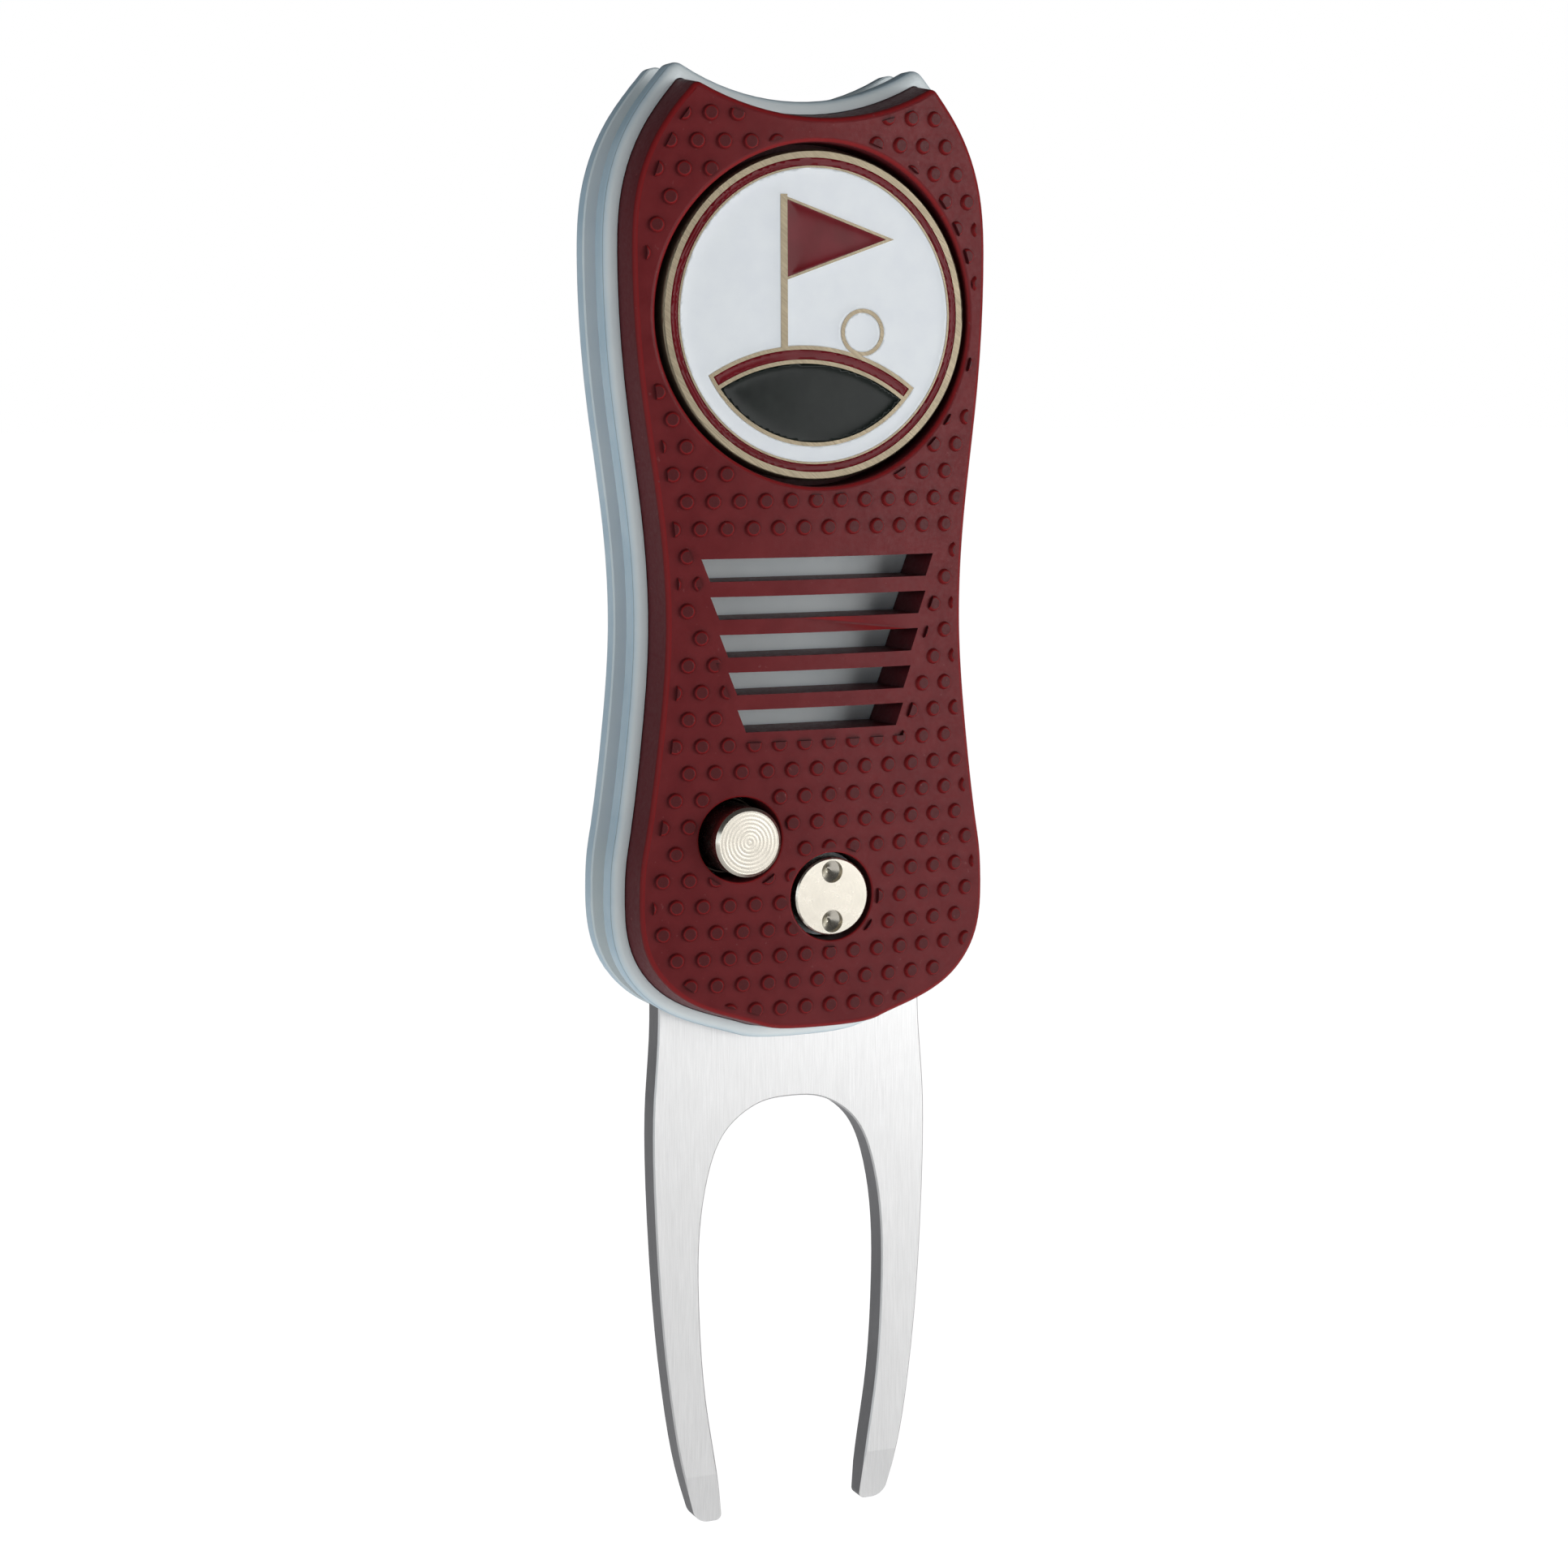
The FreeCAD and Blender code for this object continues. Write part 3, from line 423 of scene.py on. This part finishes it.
def surface_grid(rim, near):
    """The border's points, then staggered rows of points inside its box, as (x, z)."""
    flat = [Vector((v.co.x, v.co.z)) for v in rim]
    low = [min(p[i] for p in flat) for i in (0, 1)]
    high = [max(p[i] for p in flat) for i in (0, 1)]
    step = GRID_PITCH * MM
    for row in range(int((high[1] - low[1]) / (step * ROW_HEIGHT)) + 1):
        for col in range(int((high[0] - low[0]) / step) + 1):
            x = low[0] + (col + 0.5 * (row % 2)) * step
            z = low[1] + row * step * ROW_HEIGHT
            if near.find((x, 0, z))[2] > CLEAR_OF_BORDER * step:
                flat.append(Vector((x, z)))
    return flat


def dished(mesh, points, near, level, side, deep):
    """New vertices over the cell, sunk by their distance from its border."""
    verts = []
    for p in points:
        gap = near.find((p.x, 0, p.y))[2] / MM
        sink = deep * MM * (1 - math.exp(-gap / MENISCUS_REACH))
        verts.append(mesh.verts.new((p.x, level - side * sink, p.y)))
    return verts


def weld(mesh):
    """Joins the new surface to the walls and drops points with no face."""
    loose = [v for v in mesh.verts if not v.link_faces]
    bmesh.ops.delete(mesh, geom=loose, context="VERTS")
    bmesh.ops.remove_doubles(mesh, verts=mesh.verts, dist=WELD_GAP)
    bmesh.ops.recalc_face_normals(mesh, faces=mesh.faces)


def poured(name, shader, side, deep):
    """Enamel as it sets in its cell: high where it wets the metal, and dished in the middle."""
    mesh = bmesh.new()
    mesh.from_mesh(NODES[name].data)
    bmesh.ops.remove_doubles(mesh, verts=mesh.verts, dist=SAME_POINT)
    top = top_region(mesh, side)
    level = top[0].calc_center_median().y
    corners = [v.co.copy() for v in mesh.verts]
    inside = BVHTree.FromPolygons(corners, [[v.index for v in f.verts] for f in top])
    faces = set(top)
    border = [e for f in top for e in f.edges if sum(g in faces for g in e.link_faces) == 1]
    near = distance_to(border_samples(border, BORDER_STEP * MM))
    rim = list(dict.fromkeys(v for e in border for v in e.verts))
    place = {v: k for k, v in enumerate(rim)}
    lines = [[place[v] for v in e.verts] for e in border]
    flat = surface_grid(rim, near)
    points, _, triangles, *_ = delaunay_2d_cdt(flat, lines, [], 1, MESHING_EPSILON)
    bmesh.ops.delete(mesh, geom=top, context="FACES_KEEP_BOUNDARY")
    verts = dished(mesh, points, near, level, side, deep)
    for t in triangles:
        x, z = (sum(points[k][i] for k in t) / 3 for i in (0, 1))
        if inside.find_nearest((x, level, z))[3] < ON_SURFACE:
            mesh.faces.new([verts[k] for k in (t if side > 0 else reversed(t))]).smooth = True
    weld(mesh)
    data = bpy.data.meshes.new(name + "_pour")
    mesh.to_mesh(data)
    mesh.free()
    data.materials.append(shader.mat)
    piece = bpy.data.objects.new(name + "_pour", data)
    bpy.context.scene.collection.objects.link(piece)
    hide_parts(name)
    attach(piece, "marker")


poured("enamel_field", white, -1, 0.06)
poured("enamel_ground", dark, -1, 0.06)
poured("enamel_ridge", maroon, -1, 0.04)
poured("enamel_flag", maroon, -1, 0.06)
poured("enamel_ball", white, -1, 0.06)
poured("enamel_ring", maroon, -1, 0.04)
poured("enamel_reverse", maroon, 1, 0.06)


# ---------------------------------------------------------------- springs


def spring_piece(name):
    """A spring's own mesh as a separate piece, with its CAD node hidden."""
    piece = bpy.data.objects.new(name + "_coil", NODES[name].data.copy())
    bpy.context.scene.collection.objects.link(piece)
    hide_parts(name)
    return piece


squeezed = spring_piece("button_spring")
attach(squeezed, "handle")
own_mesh(squeezed)

twisted = spring_piece("torsion_spring")
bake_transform(twisted)


# ---------------------------------------------------------------- floor, light, camera


def floor():
    """A wide pale floor that glows, so that it reads as white behind the object."""
    mesh = bmesh.new()
    bmesh.ops.create_circle(mesh, cap_ends=True, segments=96, radius=FLOOR_RADIUS)
    data = bpy.data.meshes.new("floor")
    mesh.to_mesh(data)
    mesh.free()
    s = Shader("floor", (0.92, 0.92, 0.92), roughness=0.6)
    grey = s.ramp(s.noise(s.place(), 0.02, 2.0), 0.3, 0.7)
    s.color(s.mix(grey, (0.91, 0.91, 0.915), (0.93, 0.93, 0.93)))
    s.main.inputs["Emission Color"].default_value = (1, 1, 1, 1)
    seen = s.node("LightPath").outputs["Is Camera Ray"]
    glow = s.ramp(seen, 0.0, 1.0, FLOOR_GLOW_LIGHT, FLOOR_GLOW_SEEN)
    s.tree.links.new(glow, s.main.inputs["Emission Strength"])
    data.materials.append(s.mat)
    piece = bpy.data.objects.new("floor", data)
    piece.location = (0, 0, CAD_LOW.z - FLOOR_GAP)
    bpy.context.scene.collection.objects.link(piece)


def softbox(name, at, size, power, color=(1, 1, 1)):
    """A rectangular lamp turned to the object."""
    lamp = bpy.data.lights.new(name, "AREA")
    lamp.shape = "RECTANGLE"
    lamp.size, lamp.size_y = size
    lamp.energy = power
    lamp.color = color
    piece = bpy.data.objects.new(name, lamp)
    piece.location = at
    piece.rotation_euler = (Vector(LIGHT_TARGET) - Vector(at)).to_track_quat("-Z", "Y").to_euler()
    bpy.context.scene.collection.objects.link(piece)


def world(level):
    """Even white light of this strength, and plain white behind everything."""
    made = bpy.data.worlds.new("studio")
    made.use_nodes = True
    tree = made.node_tree
    light = tree.nodes["Background"]
    light.inputs["Strength"].default_value = level
    seen = tree.nodes.new("ShaderNodeBackground")
    for sky in (light, seen):
        sky.inputs["Color"].default_value = (1, 1, 1, 1)
    rays = tree.nodes.new("ShaderNodeLightPath")
    both = tree.nodes.new("ShaderNodeMixShader")
    tree.links.new(rays.outputs["Is Camera Ray"], both.inputs[0])
    tree.links.new(light.outputs[0], both.inputs[1])
    tree.links.new(seen.outputs[0], both.inputs[2])
    tree.links.new(both.outputs[0], tree.nodes["World Output"].inputs[0])
    bpy.context.scene.world = made


def camera():
    lens = bpy.data.cameras.new("camera")
    lens.lens = LENS
    lens.sensor_width = SENSOR
    lens.clip_start = 0.01
    lens.clip_end = 50.0
    piece = bpy.data.objects.new("camera", lens)
    turn = Matrix((CAMERA_RIGHT, CAMERA_UP, CAMERA_BACK)).transposed().to_4x4()
    piece.matrix_world = Matrix.Translation(CAMERA_AT) @ turn
    bpy.context.scene.collection.objects.link(piece)
    bpy.context.scene.camera = piece


floor()
world(WORLD_LIGHT)
softbox("key", KEY_AT, KEY_SIZE, KEY_POWER)
softbox("fill", FILL_AT, FILL_SIZE, FILL_POWER, FILL_COLOR)
camera()
bpy.context.scene.view_settings.view_transform = "Standard"
